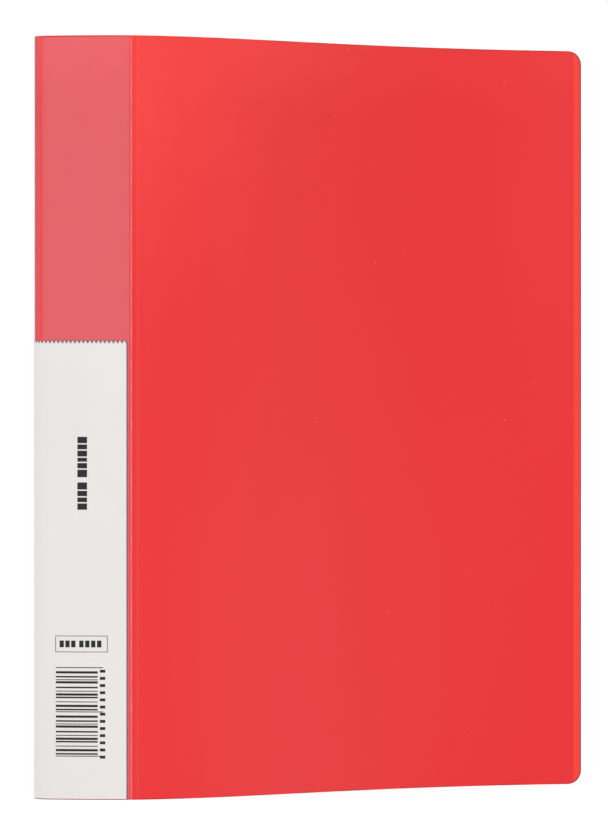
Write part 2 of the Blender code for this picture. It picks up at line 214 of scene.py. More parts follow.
def block(name, low, high):
    """A cuboid between two corners, which the shaping starts from."""
    deselect()
    low, high = Vector(low), Vector(high)
    bpy.ops.mesh.primitive_cube_add(size=1, location=(low + high) / 2, scale=high - low)
    return named(name)


def rod(name, radius, middle, length, axis, sides=48):
    """A round bar along one of the axes."""
    deselect()
    turn = {"X": (0, pi / 2, 0), "Y": (pi / 2, 0, 0), "Z": (0, 0, 0)}[axis]
    bpy.ops.mesh.primitive_cylinder_add(vertices=sides, radius=radius, depth=length,
                                        location=middle, rotation=turn)
    return named(name)


def apply_modifiers(obj):
    take(obj)
    for modifier in list(obj.modifiers):
        bpy.ops.object.modifier_apply(modifier=modifier.name)
    return obj


def smooth(obj, angle=40):
    take(obj)
    bpy.ops.object.shade_smooth_by_angle(angle=radians(angle))
    return obj


def join(name, pieces):
    deselect()
    for piece in pieces:
        piece.select_set(True)
    bpy.context.view_layer.objects.active = pieces[0]
    bpy.ops.object.join()
    obj = bpy.context.object
    obj.name = name
    obj.data.name = name
    return obj


def combine(obj, operation, tools):
    """Cuts closed shapes out of an object, or welds them on, and removes them."""
    for tool in tools:
        change = obj.modifiers.new(tool.name, "BOOLEAN")
        change.operation = operation
        change.object = tool
        change.solver = "EXACT"
        apply_modifiers(obj)
        bpy.data.objects.remove(tool)
    return obj


def break_edges(obj, width, segments=2, angle=50):
    """Takes the sharpness off every edge of a metal piece."""
    change = obj.modifiers.new("broken_edges", "BEVEL")
    change.width = width
    change.segments = segments
    change.limit_method = "ANGLE"
    change.angle_limit = radians(angle)
    change.use_clamp_overlap = True
    return apply_modifiers(obj)


def finish_with(obj, material):
    obj.data.materials.clear()
    obj.data.materials.append(material)
    return obj


# ---------------------------------------------------------------- shader building
class Value:
    """A shader socket that takes part in Python arithmetic, adding Math nodes as it goes."""

    def __init__(self, kit, socket):
        self.kit = kit
        self.socket = socket

    def math(self, operation, first, second):
        return self.kit.node("ShaderNodeMath", {"operation": operation}, {0: first, 1: second})

    def __add__(self, other):
        return self.math("ADD", self, other)

    def __sub__(self, other):
        return self.math("SUBTRACT", self, other)

    def __rsub__(self, other):
        return self.math("SUBTRACT", other, self)

    def __mul__(self, other):
        return self.math("MULTIPLY", self, other)

    __radd__ = __add__
    __rmul__ = __mul__

    def size(self):
        return self.kit.node("ShaderNodeMath", {"operation": "ABSOLUTE"}, {0: self})

    def root(self):
        return self.kit.node("ShaderNodeMath", {"operation": "SQRT"}, {0: self})

    def most(self, other):
        return self.math("MAXIMUM", self, other)

    def rise(self, low, high):
        """0 below low, 1 above high and smooth between."""
        return self.kit.node("ShaderNodeMapRange", {"interpolation_type": "SMOOTHSTEP"},
                             {"Value": self, "From Min": low, "From Max": high}, "Result")

    def near(self, middle, reach, soft):
        """1 within reach of a value, fading to 0 over soft."""
        return 1 - (self - middle).size().rise(reach, reach + soft)


class Finish:
    """A material whose node tree is built by calls."""

    def __init__(self, name, follows_sheet=False):
        self.material = bpy.data.materials.new(name)
        self.material.use_nodes = True
        self.tree = self.material.node_tree
        self.shader = self.tree.nodes["Principled BSDF"]
        if follows_sheet:
            self.place = self.node("ShaderNodeAttribute", {"attribute_name": LAYOUT}, {}, "Vector")
        else:
            self.place = self.node("ShaderNodeTexCoord", {}, {}, "Object")
        apart = self.node("ShaderNodeSeparateXYZ", {}, {"Vector": self.place}, None)
        self.x, self.y, self.z = (Value(self, apart.outputs[axis]) for axis in "XYZ")

    def node(self, kind, settings, inputs, output=0):
        made = self.tree.nodes.new(kind)
        for key, value in settings.items():
            setattr(made, key, value)
        for key, value in inputs.items():
            self.feed(made.inputs[key], value)
        if output is None:
            return made
        return Value(self, made.outputs[output])

    def feed(self, socket, value):
        """Links a value to a socket, or sets the socket to a number or a colour."""
        if isinstance(value, Value):
            self.tree.links.new(value.socket, socket)
        elif socket.type == "RGBA":
            socket.default_value = (*value, 1.0)
        else:
            socket.default_value = value

    def noise(self, scale, detail=2.0, roughness=0.5, stretch=(1, 1, 1)):
        """Smooth random variation from 0 to 1. The scale is in features per metre."""
        spot = self.node("ShaderNodeMapping", {}, {"Vector": self.place, "Scale": stretch})
        return self.node("ShaderNodeTexNoise", {},
                         {"Vector": spot, "Scale": scale, "Detail": detail, "Roughness": roughness})

    def mix(self, share, first, second):
        """Two colours mixed by a share."""
        return self.node("ShaderNodeMix", {"data_type": "RGBA"}, {0: share, 6: first, 7: second}, 2)

    def bump(self, height, strength, distance):
        return self.node("ShaderNodeBump", {},
                         {"Height": height, "Strength": strength, "Distance": distance})

    def set(self, **values):
        """Sets the shader's sockets, by name with _ for a space."""
        for key, value in values.items():
            self.feed(self.shader.inputs[key.replace("_", " ")], value)
        return self.material


# ---------------------------------------------------------------- the sheet's course
def bezier_length(p0, p1, p2, p3, steps=400):
    total = 0.0
    before = p0
    for step in range(1, steps + 1):
        t = step / steps
        u = 1 - t
        here = p0 * u ** 3 + p1 * 3 * u * u * t + p2 * 3 * u * t * t + p3 * t ** 3
        total += (here - before).length
        before = here
    return total


def bow_chord():
    """Straight distance from the crease to the free edge, for the cover's depth along the sheet."""
    leave = Vector((cos(BOW_LEAVE), -sin(BOW_LEAVE))) * BOW_LEAVE_PULL
    arrive = Vector((1, 0)) - Vector((cos(BOW_ARRIVE), -sin(BOW_ARRIVE))) * BOW_ARRIVE_PULL
    return COVER_DEPTH / bezier_length(Vector((0, 0)), leave, arrive, Vector((1, 0)))


def make_course():
    """The middle line of the whole sheet: rear cover, rear bend, spine, crease and bowed front cover."""
    curve = bpy.data.curves.new("sheet_course", "CURVE")
    curve.dimensions = "3D"
    curve.twist_mode = "Z_UP"
    curve.resolution_u = 120
    spline = curve.splines.new("BEZIER")
    chord = bow_chord()
    heading = Vector((cos(FRONT_TURN), sin(FRONT_TURN), 0))
    inward = Vector((-sin(FRONT_TURN), cos(FRONT_TURN), 0))
    crease = Vector((FRONT_X, 0, 0))
    bend_end = Vector((REAR_X + REAR_BEND_ACROSS, SPINE_DIP, 0))
    leave = (heading * cos(BOW_LEAVE) - inward * sin(BOW_LEAVE)) * BOW_LEAVE_PULL * chord
    arrive = (heading * cos(BOW_ARRIVE) - inward * sin(BOW_ARRIVE)) * BOW_ARRIVE_PULL * chord
    # The bow bulges outward at the crease and inward at the free edge
    third = (crease - bend_end) / 3
    sag = Vector((0, -SPINE_BULGE * 4 / 3, 0))
    entry = third + sag
    straight = Vector((0, COVER_DEPTH / 3, 0))
    points = [
        (Vector((REAR_X, COVER_DEPTH, 0)), straight, -straight),
        (Vector((REAR_X, REAR_BEND_BACK, 0)), straight, Vector((-REAR_BEND_FLARE, -REAR_BEND_PULL, 0))),
        (bend_end, -entry.normalized() * SPINE_PULL, entry),
        (crease, -third + sag, leave),
        (crease + heading * chord, -arrive, arrive * 0.1),
    ]
    spline.bezier_points.add(len(points) - 1)
    for point, (place, left, right) in zip(spline.bezier_points, points):
        point.handle_left_type = point.handle_right_type = "FREE"
        point.co = place
        point.handle_left = place + left
        point.handle_right = place + right
    obj = bpy.data.objects.new("sheet_course", curve)
    bpy.context.scene.collection.objects.link(obj)
    runs = [bezier_length(a[0], a[0] + a[2], b[0] + b[1], b[0]) for a, b in zip(points, points[1:])]
    return obj, runs


course, (REAR_RUN, BEND_RUN, SPINE_RUN, FRONT_RUN) = make_course()
SPINE_START = REAR_RUN + BEND_RUN
CREASE = SPINE_START + SPINE_RUN
SHEET_END = CREASE + FRONT_RUN
SEAM = CREASE - 2.7 * MM


def course_of(x):
    """Distance along the flat layout for a place across the spine."""
    return SPINE_START + (x - REAR_X - REAR_BEND_ACROSS) * SPINE_RUN / (SPINE_WIDTH - REAR_BEND_ACROSS)


REAR_CREASE = REAR_RUN + 9.2 * MM
CARD_LEFT = REAR_RUN + 4.5 * MM
CARD_RIGHT = course_of(card_high.x) - 0.3 * MM
CARD_LOW = card_low.z - 0.45 * MM
CARD_HIGH = card_high.z + 0.45 * MM
FILM_LEFT = REAR_RUN - 3 * MM
FILM_LOW = 0.04 * MM
FILM_RIGHT = course_of(film_high.x)


def bend_along_course(obj):
    """Keeps where each point lies on the flat piece, for its finish, and bends the piece."""
    layout = obj.data.attributes.new(LAYOUT, "FLOAT_VECTOR", "POINT")
    flat = [0.0] * (3 * len(obj.data.vertices))
    obj.data.vertices.foreach_get("co", flat)
    layout.data.foreach_set("vector", flat)
    change = obj.modifiers.new("course", "CURVE")
    change.object = course
    change.deform_axis = "POS_X"
    return apply_modifiers(obj)


def slice_at(obj, stations, normal=(1, 0, 0)):
    """Cuts an edge loop across a flat piece at each distance along a direction."""
    edit(obj)
    for station in stations:
        bpy.ops.mesh.select_all(action="SELECT")
        bpy.ops.mesh.bisect(plane_co=Vector(normal) * station, plane_no=normal)
    leave_edit()
    return obj


def steps_between(start, end, step):
    count = max(1, round((end - start) / step))
    return [start + (end - start) * i / count for i in range(1, count)]


def round_corners(obj, at, radius):
    """Rounds the two corners of a slab at one end."""
    edit(obj)
    pick(obj, "EDGE", lambda e: all(abs(v.co.x - at) < 1e-6 for v in e.verts)
         and abs(e.verts[0].co.y - e.verts[1].co.y) > 1e-5)
    bpy.ops.mesh.bevel(offset=radius, segments=10, affect="EDGES")
    leave_edit()
    return obj


def roll_outline(obj, width, seam=None):
    """Rolls the cut edges of a slab, apart from an end that meets the next piece."""

    def is_outline(edge):
        if seam is not None and all(abs(v.co.x - seam) < 1e-6 for v in edge.verts):
            return False
        return abs(edge.verts[0].co.y - edge.verts[1].co.y) < 1e-6 and edge.calc_face_angle(0) > 1

    edit(obj)
    pick(obj, "EDGE", is_outline)
    bpy.ops.mesh.bevel(offset=width, segments=2, affect="EDGES")
    leave_edit()
    return obj


def score(obj, station, half_width, depth, side):
    """Presses a V groove across the sheet into one side: -1 outer, 1 inner."""
    slice_at(obj, [station - half_width, station, station + half_width])
    edit(obj)
    pick(obj, "VERT", lambda v: abs(v.co.x - station) < 1e-6 and v.co.y * side > SHEET / 4)
    bpy.ops.transform.translate(value=(0, -side * depth, 0))
    leave_edit()
    return obj


# ---------------------------------------------------------------- cover
def make_rear_and_spine():
    """Rear cover and spine, up to the seam under the pocket's weld beside the front crease."""
    slab = block("rear_and_spine_sheet", (0, -SHEET / 2, 0), (SEAM, SHEET / 2, HEIGHT))
    round_corners(slab, 0, CORNER_RADIUS)
    roll_outline(slab, EDGE_ROUND, seam=SEAM)
    holes = []
    for end in ("upper", "lower"):
        low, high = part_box(f"rivet_{end}")
        middle = (low + high) / 2
        place = (COVER_DEPTH - middle.y, 0, middle.z)
        holes.append(rod(f"rivet_hole_{end}", RIVET_BORE, place, 3 * SHEET, "Y"))
    slice_at(slab, [20 * MM, 120 * MM])
    combine(slab, "DIFFERENCE", holes)
    slice_at(slab, [REAR_RUN - 6 * MM, REAR_RUN - 3 * MM])
    slice_at(slab, [REAR_RUN + BEND_RUN * i / 24 for i in range(25)])
    slice_at(slab, steps_between(SPINE_START, SEAM, 2.2 * MM))
    score(slab, REAR_CREASE, 0.3 * MM, 0.12 * MM, -1)
    bend_along_course(slab)
    return smooth(finish_with(slab, RED))


def make_front_cover():
    """Front cover with the scored crease and the narrow strip that joins it to the spine."""
    start = SEAM + 0.01 * MM
    slab = block("front_cover_sheet", (start, -SHEET / 2, 0), (SHEET_END, SHEET / 2, HEIGHT))
    round_corners(slab, SHEET_END, CORNER_RADIUS)
    roll_outline(slab, EDGE_ROUND, seam=start)
    slice_at(slab, steps_between(CREASE - 1.6 * MM, CREASE + 1.6 * MM, 0.2 * MM))
    for side, depth in ((-1, 0.14 * MM), (1, 0.2 * MM)):
        score(slab, CREASE, 0.4 * MM, depth, side)
    slice_at(slab, steps_between(CREASE + 1.6 * MM, SHEET_END - CORNER_RADIUS, 3.5 * MM))
    bend_along_course(slab)
    return smooth(finish_with(slab, RED))


# ---------------------------------------------------------------- spine pocket
def make_label_card():
    """Card with a pinked top edge, cut tooth by tooth."""
    card = block("label_card_pinked", (CARD_LEFT, -CARD_OUTER, CARD_LOW),
                 (CARD_RIGHT, -CARD_INNER, CARD_HIGH))
    teeth = round((CARD_RIGHT - CARD_LEFT) / TOOTH_PITCH)
    half_pitch = (CARD_RIGHT - CARD_LEFT) / teeth / 2
    slice_at(card, [CARD_LEFT + half_pitch * i for i in range(1, 2 * teeth)])

    def is_notch(vert):
        return vert.co.z > CARD_HIGH - 1e-6 and round((vert.co.x - CARD_LEFT) / half_pitch) % 2 == 0

    edit(card)
    pick(card, "VERT", is_notch)
    bpy.ops.transform.translate(value=(0, 0, -TOOTH_DEPTH))
    leave_edit()
    bend_along_course(card)
    return smooth(finish_with(card, CARD))


def ink_bar(left, right, low, high):
    return block("bar", (left, -INK_OUTER, low), (right, -CARD_OUTER - INK_SINK, high))


def title_bars():
    """A line of plain blocks that runs up the label, in two groups."""
    foot = course_of(TITLE_X)
    up = TITLE_Z
    bars = []
    for group in TITLE_GROUPS:
        for length in group:
            bars.append(ink_bar(foot - TITLE_WIDTH, foot, up, up + length * MM))
            up += length * MM + TITLE_GAP
        up += TITLE_GROUP_GAP
    return bars


def boxed_line():
    """A ruled box with a row of plain dashes inside."""
    left, right = (course_of(x) for x in BOX_X)
    low, high = BOX_Z
    bars = [ink_bar(left, right, low, low + BOX_RULE),
            ink_bar(left, right, high - BOX_RULE, high),
            ink_bar(left, left + BOX_RULE, low + BOX_RULE, high - BOX_RULE),
            ink_bar(right - BOX_RULE, right, low + BOX_RULE, high - BOX_RULE)]
    across = left + DASH_WIDTH
    for count in (3, 4):
        for _ in range(count):
            bars.append(ink_bar(across, across + DASH_WIDTH, *DASH_Z))
            across += DASH_STEP
        across += DASH_GROUP_GAP
    return bars


def stripe_block():
    """Plain stripes of uneven width stacked up the label, with a column of dashes beside them."""
    bars = []
    left = course_of(STRIPES_X)
    up, top = STRIPES_Z
    step = 0
    while up < top:
        thick = (0.35 + 0.3 * (step * 7 % 3)) * MM
        longer = LONG_STRIPE_EXTRA if step % 12 == 0 else 0
        bars.append(ink_bar(left, left + STRIPE_LENGTH + longer, up, up + thick))
        up += thick + (0.42 + 0.3 * (step * 5 % 4)) * MM
        step += 1
    near, far = TICKS_ACROSS
    for tick in range(13):
        up = TICKS_Z + TICK_STEP * tick
        bars.append(ink_bar(left + near, left + far, up, up + TICK_HEIGHT))
    return bars


def make_label_print():
    bars = title_bars() + boxed_line() + stripe_block()
    printing = join("label_print", bars)
    slice_at(printing, steps_between(course_of(-14 * MM), course_of(12 * MM), 1.2 * MM))
    bend_along_course(printing)
    return finish_with(printing, INK)


def make_pocket_film():
    """Clear film welded down along its long edges and foot, open at the top."""
    film = block("pocket_film_sheet", (FILM_LEFT, -FILM_OUTER, FILM_LOW),
                 (FILM_RIGHT, -FILM_INNER, film_high.z))
    slice_at(film, [FILM_LEFT + WELD, FILM_LEFT + 2 * WELD, FILM_RIGHT - 2 * WELD, FILM_RIGHT - WELD])
    slice_at(film, steps_between(FILM_LEFT + 2 * WELD, FILM_RIGHT - 2 * WELD, 0.8 * MM))
    foot_weld = FILM_LOW + FILM_FOOT_WELD
    slice_at(film, [foot_weld, CARD_LOW - 0.02 * MM], (0, 0, 1))

    def is_welded(vert):
        side = min(vert.co.x - FILM_LEFT, FILM_RIGHT - vert.co.x)
        return side < WELD + 1e-6 or vert.co.z < foot_weld + 1e-6

    edit(film)
    pick(film, "VERT", is_welded)
    bpy.ops.transform.translate(value=(0, WELD_SINK, 0))
    leave_edit()
    bend_along_course(film)
    return smooth(finish_with(film, FILM))


# ---------------------------------------------------------------- ring mechanism
def make_housing():
    """Arched housing of bent sheet with curled feet, cut for the rings, lever pins and rivets."""
    shoulder = MECHANISM_X + HOUSING_SHOULDER
    half = (housing_high.y - housing_low.y) / 2
    length = housing_high.z - housing_low.z
    deselect()
    bpy.ops.mesh.primitive_cylinder_add(vertices=72, radius=1, depth=length, end_fill_type="NOTHING",
                                        location=(shoulder, RING_Y, MIDDLE_Z),
                                        scale=(housing_high.x - shoulder, half, 1))
    shell = named("ring_housing_shell")
    edit(shell)
    bpy.ops.mesh.select_all(action="SELECT")
    bpy.ops.mesh.bisect(plane_co=(shoulder, 0, 0), plane_no=(1, 0, 0), clear_inner=True)
    pick(shell, "EDGE", lambda e: all(v.co.x < shoulder + 1e-6 for v in e.verts))
    bpy.ops.mesh.extrude_region_move(TRANSFORM_OT_translate={"value": (housing_low.x - shoulder, 0, 0)})
    for way in (-1, 1):
        pick(shell, "EDGE", lambda e: all(v.co.x < housing_low.x + 1e-6 and (v.co.y - RING_Y) * way > 0
                                          for v in e.verts))
        inset = -way * (HOUSING_LIP + HOUSING_WALL)
        bpy.ops.mesh.extrude_region_move(TRANSFORM_OT_translate={"value": (0, inset, 0)})
    bpy.ops.mesh.select_all(action="SELECT")
    bpy.ops.mesh.remove_doubles(threshold=0.00001)
    bpy.ops.mesh.normals_make_consistent(inside=False)
    leave_edit()
    wall = shell.modifiers.new("sheet", "SOLIDIFY")
    wall.thickness = HOUSING_WALL
    wall.offset = -1
    wall.use_even_offset = True
    apply_modifiers(shell)
    tools = []
    for end in ("upper", "lower"):
        ring_low, ring_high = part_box(f"half_ring_{end}_fore_side")
        middle = (ring_low.z + ring_high.z) / 2
        reach = WIRE / 2 + SLOT_CLEARANCE
        for way in (-1, 1):
            across = sorted((way * (RING_FOOT - reach), way * (RING_FOOT + RING_ELBOW + SLOT_SWING)))
            tools.append(block("ring_slot", (MECHANISM_X + SLOT_LOW, RING_Y + across[0], middle - reach),
                               (housing_high.x + MM, RING_Y + across[1], middle + reach)))
        pin_low, pin_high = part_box(f"lever_pin_{end}")
        pin = (pin_low + pin_high) / 2
        tools.append(rod("pin_bore", (pin_high.x - pin_low.x) / 2 + PIN_CLEARANCE, pin, 4 * half, "Y"))
        low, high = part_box(f"rivet_{end}")
        middle = (low + high) / 2
        tools.append(rod("rivet_bore", RIVET_BORE, (housing_high.x, middle.y, middle.z), 2 * half, "X"))
    combine(shell, "DIFFERENCE", tools)
    break_edges(shell, 0.14 * MM)
    return smooth(finish_with(shell, NICKEL))


def half_ring_path(foot, way, level):
    """The wire's middle line from its foot on the blade to its tip."""
    arc_end = acos((RING_FOOT + RING_ELBOW) / (RING_RADIUS + RING_ELBOW))
    foot_top = foot + WIRE / 4
    centre = foot_top + (RING_ELBOW + RING_RADIUS) * sin(arc_end)
    path = [(foot, RING_FOOT)]
    elbow_steps = 8
    for step in range(elbow_steps):
        lean = arc_end * step / elbow_steps
        path.append((foot_top + RING_ELBOW * sin(lean), RING_FOOT + RING_ELBOW * (1 - cos(lean))))
    arc_steps = 40
    tip = asin(RING_TIP_GAP / 2 / RING_RADIUS) - pi / 2
    for step in range(arc_steps + 1):
        lean = arc_end + (tip - arc_end) * step / arc_steps
        path.append((centre - RING_RADIUS * sin(lean), RING_RADIUS * cos(lean)))
    return [Vector((x, RING_Y + way * offset, level)) for x, offset in path]


def make_half_ring(end, edge, way):
    """Bent round wire, with the rim of its tip broken."""
    low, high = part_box(f"half_ring_{end}_{edge}")
    path = half_ring_path(low.x, way, (low.z + high.z) / 2)
    curve = bpy.data.curves.new("wire", "CURVE")
    curve.dimensions = "3D"
    curve.bevel_depth = WIRE / 2
    curve.bevel_resolution = 6
    curve.use_fill_caps = True
    spline = curve.splines.new("POLY")
    spline.points.add(len(path) - 1)
    for point, place in zip(spline.points, path):
        point.co = (*place, 1)
    obj = bpy.data.objects.new("wire", curve)
    bpy.context.scene.collection.objects.link(obj)
    take(obj)
    bpy.ops.object.convert(target="MESH")
    ring = named(f"ring_wire_{end}_{edge}")
    edit(ring)
    bpy.ops.mesh.select_all(action="SELECT")
    bpy.ops.mesh.remove_doubles(threshold=0.00001)
    bpy.ops.mesh.normals_make_consistent(inside=False)
    leave_edit()
    break_edges(ring, 0.2 * MM)
    return smooth(finish_with(ring, NICKEL))


def make_lever(end, side):
    """Opening lever: flat arm on its pin, a rolled knee, a thumb tab and a tongue over the blades."""
    low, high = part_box(f"lever_{end}")
    pin_low, pin_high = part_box(f"lever_pin_{end}")
    pin = (pin_low + pin_high) / 2
    half = (high.y - low.y) / 2
    plate = LEVER_PLATE / 2
    knee = pin.z + side * LEVER_FLAT
    tip = high if side > 0 else low
    rise = high.x - pin.x
    slope = Vector((rise, 0, tip.z - knee)).normalized()
    turn = acos(abs(slope.z))
    ends = sorted((pin.z, knee))
    lever = block(f"opening_lever_{end}", (pin.x - plate, pin.y - half, ends[0]),
                  (pin.x + plate, pin.y + half, ends[1]))
    edit(lever)
    pick(lever, "FACE", lambda f: abs(f.calc_center_median().z - knee) < 1e-6)
    bpy.ops.mesh.spin(steps=8, angle=turn, center=(pin.x + LEVER_KNEE, pin.y, knee), axis=(0, side, 0))
    reach = (rise - plate) / sin(turn) - LEVER_KNEE * tan(turn / 2) - plate
    bpy.ops.mesh.extrude_region_move(TRANSFORM_OT_translate={"value": slope * reach})

    def is_tab_corner(edge):
        span = edge.verts[0].co - edge.verts[1].co
        return (abs(span.y) < 1e-6 and abs(span.length - LEVER_PLATE) < 0.05 * MM
                and min(v.co.x for v in edge.verts) > pin.x + rise * 0.7)

    pick(lever, "EDGE", is_tab_corner)
    bpy.ops.mesh.bevel(offset=3 * MM, segments=8, affect="EDGES")
    leave_edit()
    inner = pin.z - side * TONGUE_LENGTH
    floor = MECHANISM_X + TONGUE_FLOOR
    reach_in = sorted((inner, pin.z - side * 0.3 * MM))
    root = sorted((pin.z - side * LEVER_BOSS * 0.9, pin.z - side * 0.3 * MM))
    parts = [
        rod("boss", LEVER_BOSS, pin, 2 * half, "Y"),
        block("tongue", (floor, pin.y - TONGUE_WIDTH / 2, reach_in[0]),
              (floor + TONGUE_PLATE, pin.y + TONGUE_WIDTH / 2, reach_in[1])),
        block("tongue_root", (floor + TONGUE_PLATE / 2, pin.y - TONGUE_WIDTH / 2, root[0]),
              (pin.x, pin.y + TONGUE_WIDTH / 2, root[1])),
    ]
    combine(lever, "UNION", parts)
    bore = rod("bore", (pin_high.x - pin_low.x) / 2 + PIN_CLEARANCE, pin, 4 * half, "Y")
    combine(lever, "DIFFERENCE", [bore])
    break_edges(lever, 0.12 * MM)
    return smooth(finish_with(lever, NICKEL))


def make_pin(end):
    """Lever pin with rounded ends."""
    low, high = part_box(f"lever_pin_{end}")
    radius = (high.x - low.x) / 2
    pin = rod(f"pivot_pin_{end}", radius, (low + high) / 2, high.y - low.y, "Y")
    break_edges(pin, radius * 0.4, 4)
    return smooth(finish_with(pin, NICKEL))


def make_post(end):
    """Tubular post that spaces the housing off the cover."""
    low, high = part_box(f"mounting_post_{end}")
    middle = (low + high) / 2
    post = rod(f"spacer_post_{end}", (high.y - low.y) / 2, middle, high.x - low.x, "X")
    combine(post, "DIFFERENCE", [rod("bore", RIVET_BORE, middle, 3 * (high.x - low.x), "X")])
    break_edges(post, 0.2 * MM)
    return smooth(finish_with(post, STEEL))


def grow_face(obj, at, step, share):
    """Extrudes the end face at a height along X and scales the new face about its middle."""
    pick(obj, "FACE", lambda f: abs(f.calc_center_median().x - at) < 1e-6 and abs(f.normal.x) > 0.99)
    bpy.ops.mesh.extrude_region_move(TRANSFORM_OT_translate={"value": (step, 0, 0)})
    bpy.ops.transform.resize(value=(1, share, share))
    return at + step


def make_rivet(end):
    """Rivet: low domed head outside the cover, shank, and a rim formed over the housing."""
    low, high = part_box(f"rivet_{end}")
    middle = (low + high) / 2
    head = (high.y - low.y) / 2
    head_face = MECHANISM_X - SHEET - 0.3 * MM
    dome = head_face - low.x
    rim_face = housing_high.x + 0.05 * MM
    body = rod(f"rivet_set_{end}", head, (head_face - dome * 0.2, middle.y, middle.z), dome * 0.4, "X")
    edit(body)
    at = head_face - dome * 0.4
    for step, share in ((-0.25, 0.93), (-0.2, 0.82), (-0.15, 0.6)):
        at = grow_face(body, at, step * dome, share)
    at = grow_face(body, head_face, 0.001 * MM, RIVET_SHANK / head)
    at = grow_face(body, at, rim_face - at, 1)
    at = grow_face(body, at, 0.001 * MM, 0.75 * head / RIVET_SHANK)
    for step, share in ((0.35, 1), (0.3, 0.9), (0.2, 0.7)):
        at = grow_face(body, at, step * dome, share)
    leave_edit()
    return smooth(finish_with(body, STEEL), 35)


# ---------------------------------------------------------------- finishes
def red_sheet_finish():
    """Red polypropylene: satin, fine grain, a few specks; painted light near the top and the spine, a
    lighter orange-red strip of painted light and a dark rim of painted shade at the free edge, painted
    highlights at the creases, and painted shade in the rear bend and around the label card.
    """
    f = Finish("red_polypropylene", follows_sheet=True)
    along = f.x - CREASE
    # Painted light: the sheet is drawn lighter towards the top edge and near the spine, most at the top
    # near the spine.
    top = f.z.rise(HEIGHT - 34 * MM, HEIGHT) * (1 - along.rise(80 * MM, 150 * MM) * 0.6)
    upper = f.z.rise(HEIGHT - 130 * MM, HEIGHT)
    lit_near_spine = (1 - along.rise(3 * MM, 110 * MM)) * along.rise(-2.6 * MM, -1.6 * MM)
    past_x = (f.x - (SHEET_END - CORNER_RADIUS)).most(0)
    past_z = ((f.z - HEIGHT / 2).size() - (HEIGHT / 2 - CORNER_RADIUS)).most(0)
    inset = CORNER_RADIUS - (past_x * past_x + past_z * past_z).root()
    # Painted light: a lighter, more orange strip along the free edge, standing in for light shining
    # through the sheet there.
    free_edge_light = 1 - inset.rise(2.9 * MM, 4.0 * MM)
    free_edge_light = free_edge_light * f.x.rise(SHEET_END - 4.2 * MM, SHEET_END - 3.2 * MM)
    # Painted shade: a dark rim along the cut edge, full at the free edge and in patches along the other
    # edges.
    rim_shade_patches = f.noise(45, 2, 0.5).rise(0.38, 0.64)
    rim = 1 - inset.rise(0.42 * MM, 0.70 * MM)
    rim = rim * f.x.rise(SHEET_END - 5 * MM, SHEET_END - 3 * MM).most(rim_shade_patches * 0.5)
    cloud = f.noise(9, 3, 0.5)
    deep = (0.785, 0.0135, 0.0190)
    lit_red = (0.910, 0.0390, 0.0350)
    strip = (0.930, 0.0400, 0.0235)
    crease_highlight = (0.95, 0.14, 0.12)
    pale_speck = (0.96, 0.30, 0.27)
    rim_shade_red = (0.15, 0.012, 0.012)
    bend_red = (0.42, 0.020, 0.030)
    maroon = (0.13, 0.012, 0.022)
    glow = (0.93, 0.060, 0.055)
    # Painted light mixed in near the spine and along the top edge.
    colour = f.mix(lit_near_spine * (upper * 0.75 + 0.15), deep, lit_red)
    colour = f.mix((top * 0.5 + (cloud - 0.5) * 0.2).most(0), colour, lit_red)
    # Painted light: the strip along the free edge.
    colour = f.mix(free_edge_light * 0.85, colour, strip)
    # Painted highlight: thin light lines along the front crease and the rear score line.
    crease = along.near(0, 0.14 * MM, 0.12 * MM).most(f.x.near(REAR_CREASE, 0.22 * MM, 0.2 * MM))
    colour = f.mix(crease * 0.3, colour, crease_highlight)
    speck = f.noise(420, 1, 0.4).rise(0.80, 0.84)
    colour = f.mix(speck * 0.5, colour, pale_speck)
    # Painted shade: the dark rim at the cut edge.
    colour = f.mix(rim * 0.9, colour, rim_shade_red)
    outer = 1 - f.y.rise(-0.25 * MM, 0)
    bend_shade = f.x.near(REAR_CREASE - 2.2 * MM, 1.0 * MM, 0.7 * MM) * outer
    colour = f.mix(bend_shade * 0.45, colour, bend_red)
    beside_card = (f.x.near(CARD_RIGHT + 0.2 * MM, 0.30 * MM, 0.20 * MM)
                   * (1 - f.z.rise(CARD_HIGH - MM, CARD_HIGH)))
    above_card = (f.z.near(CARD_HIGH - 0.75 * MM, 0.6 * MM, 0.3 * MM)
                  * (1 - f.x.rise(CARD_RIGHT, CARD_RIGHT + 0.2 * MM)))
    below_card = (1 - f.z.rise(0.3 * MM, 0.5 * MM)) * f.x.near(SPINE_START + 5 * MM, 24 * MM, 3 * MM)
    above_card = above_card * f.x.rise(CARD_LEFT, CARD_LEFT + 0.2 * MM)
    shadow = beside_card.most(above_card).most(below_card * 0.8)
    colour = f.mix(shadow * outer * 0.92, colour, maroon)
    # From inside, the white card glows faintly through the sheet
    behind = (1 - outer) * (1 - f.z.rise(CARD_HIGH - 0.6 * MM, CARD_HIGH + 0.6 * MM))
    behind = behind * f.x.near((CARD_LEFT + CARD_RIGHT) / 2, (CARD_RIGHT - CARD_LEFT) / 2, 0.6 * MM)
    colour = f.mix(behind * 0.5, colour, glow)
    grain = f.noise(5200, 2, 0.6)
    smear = f.noise(24, 4, 0.6, (1, 1, 0.4))
    return f.set(Base_Color=colour, Roughness=0.36 + smear * 0.10 + grain * 0.04,
                 Specular_IOR_Level=0.38, Normal=f.bump(grain, 0.12, 0.05 * MM))


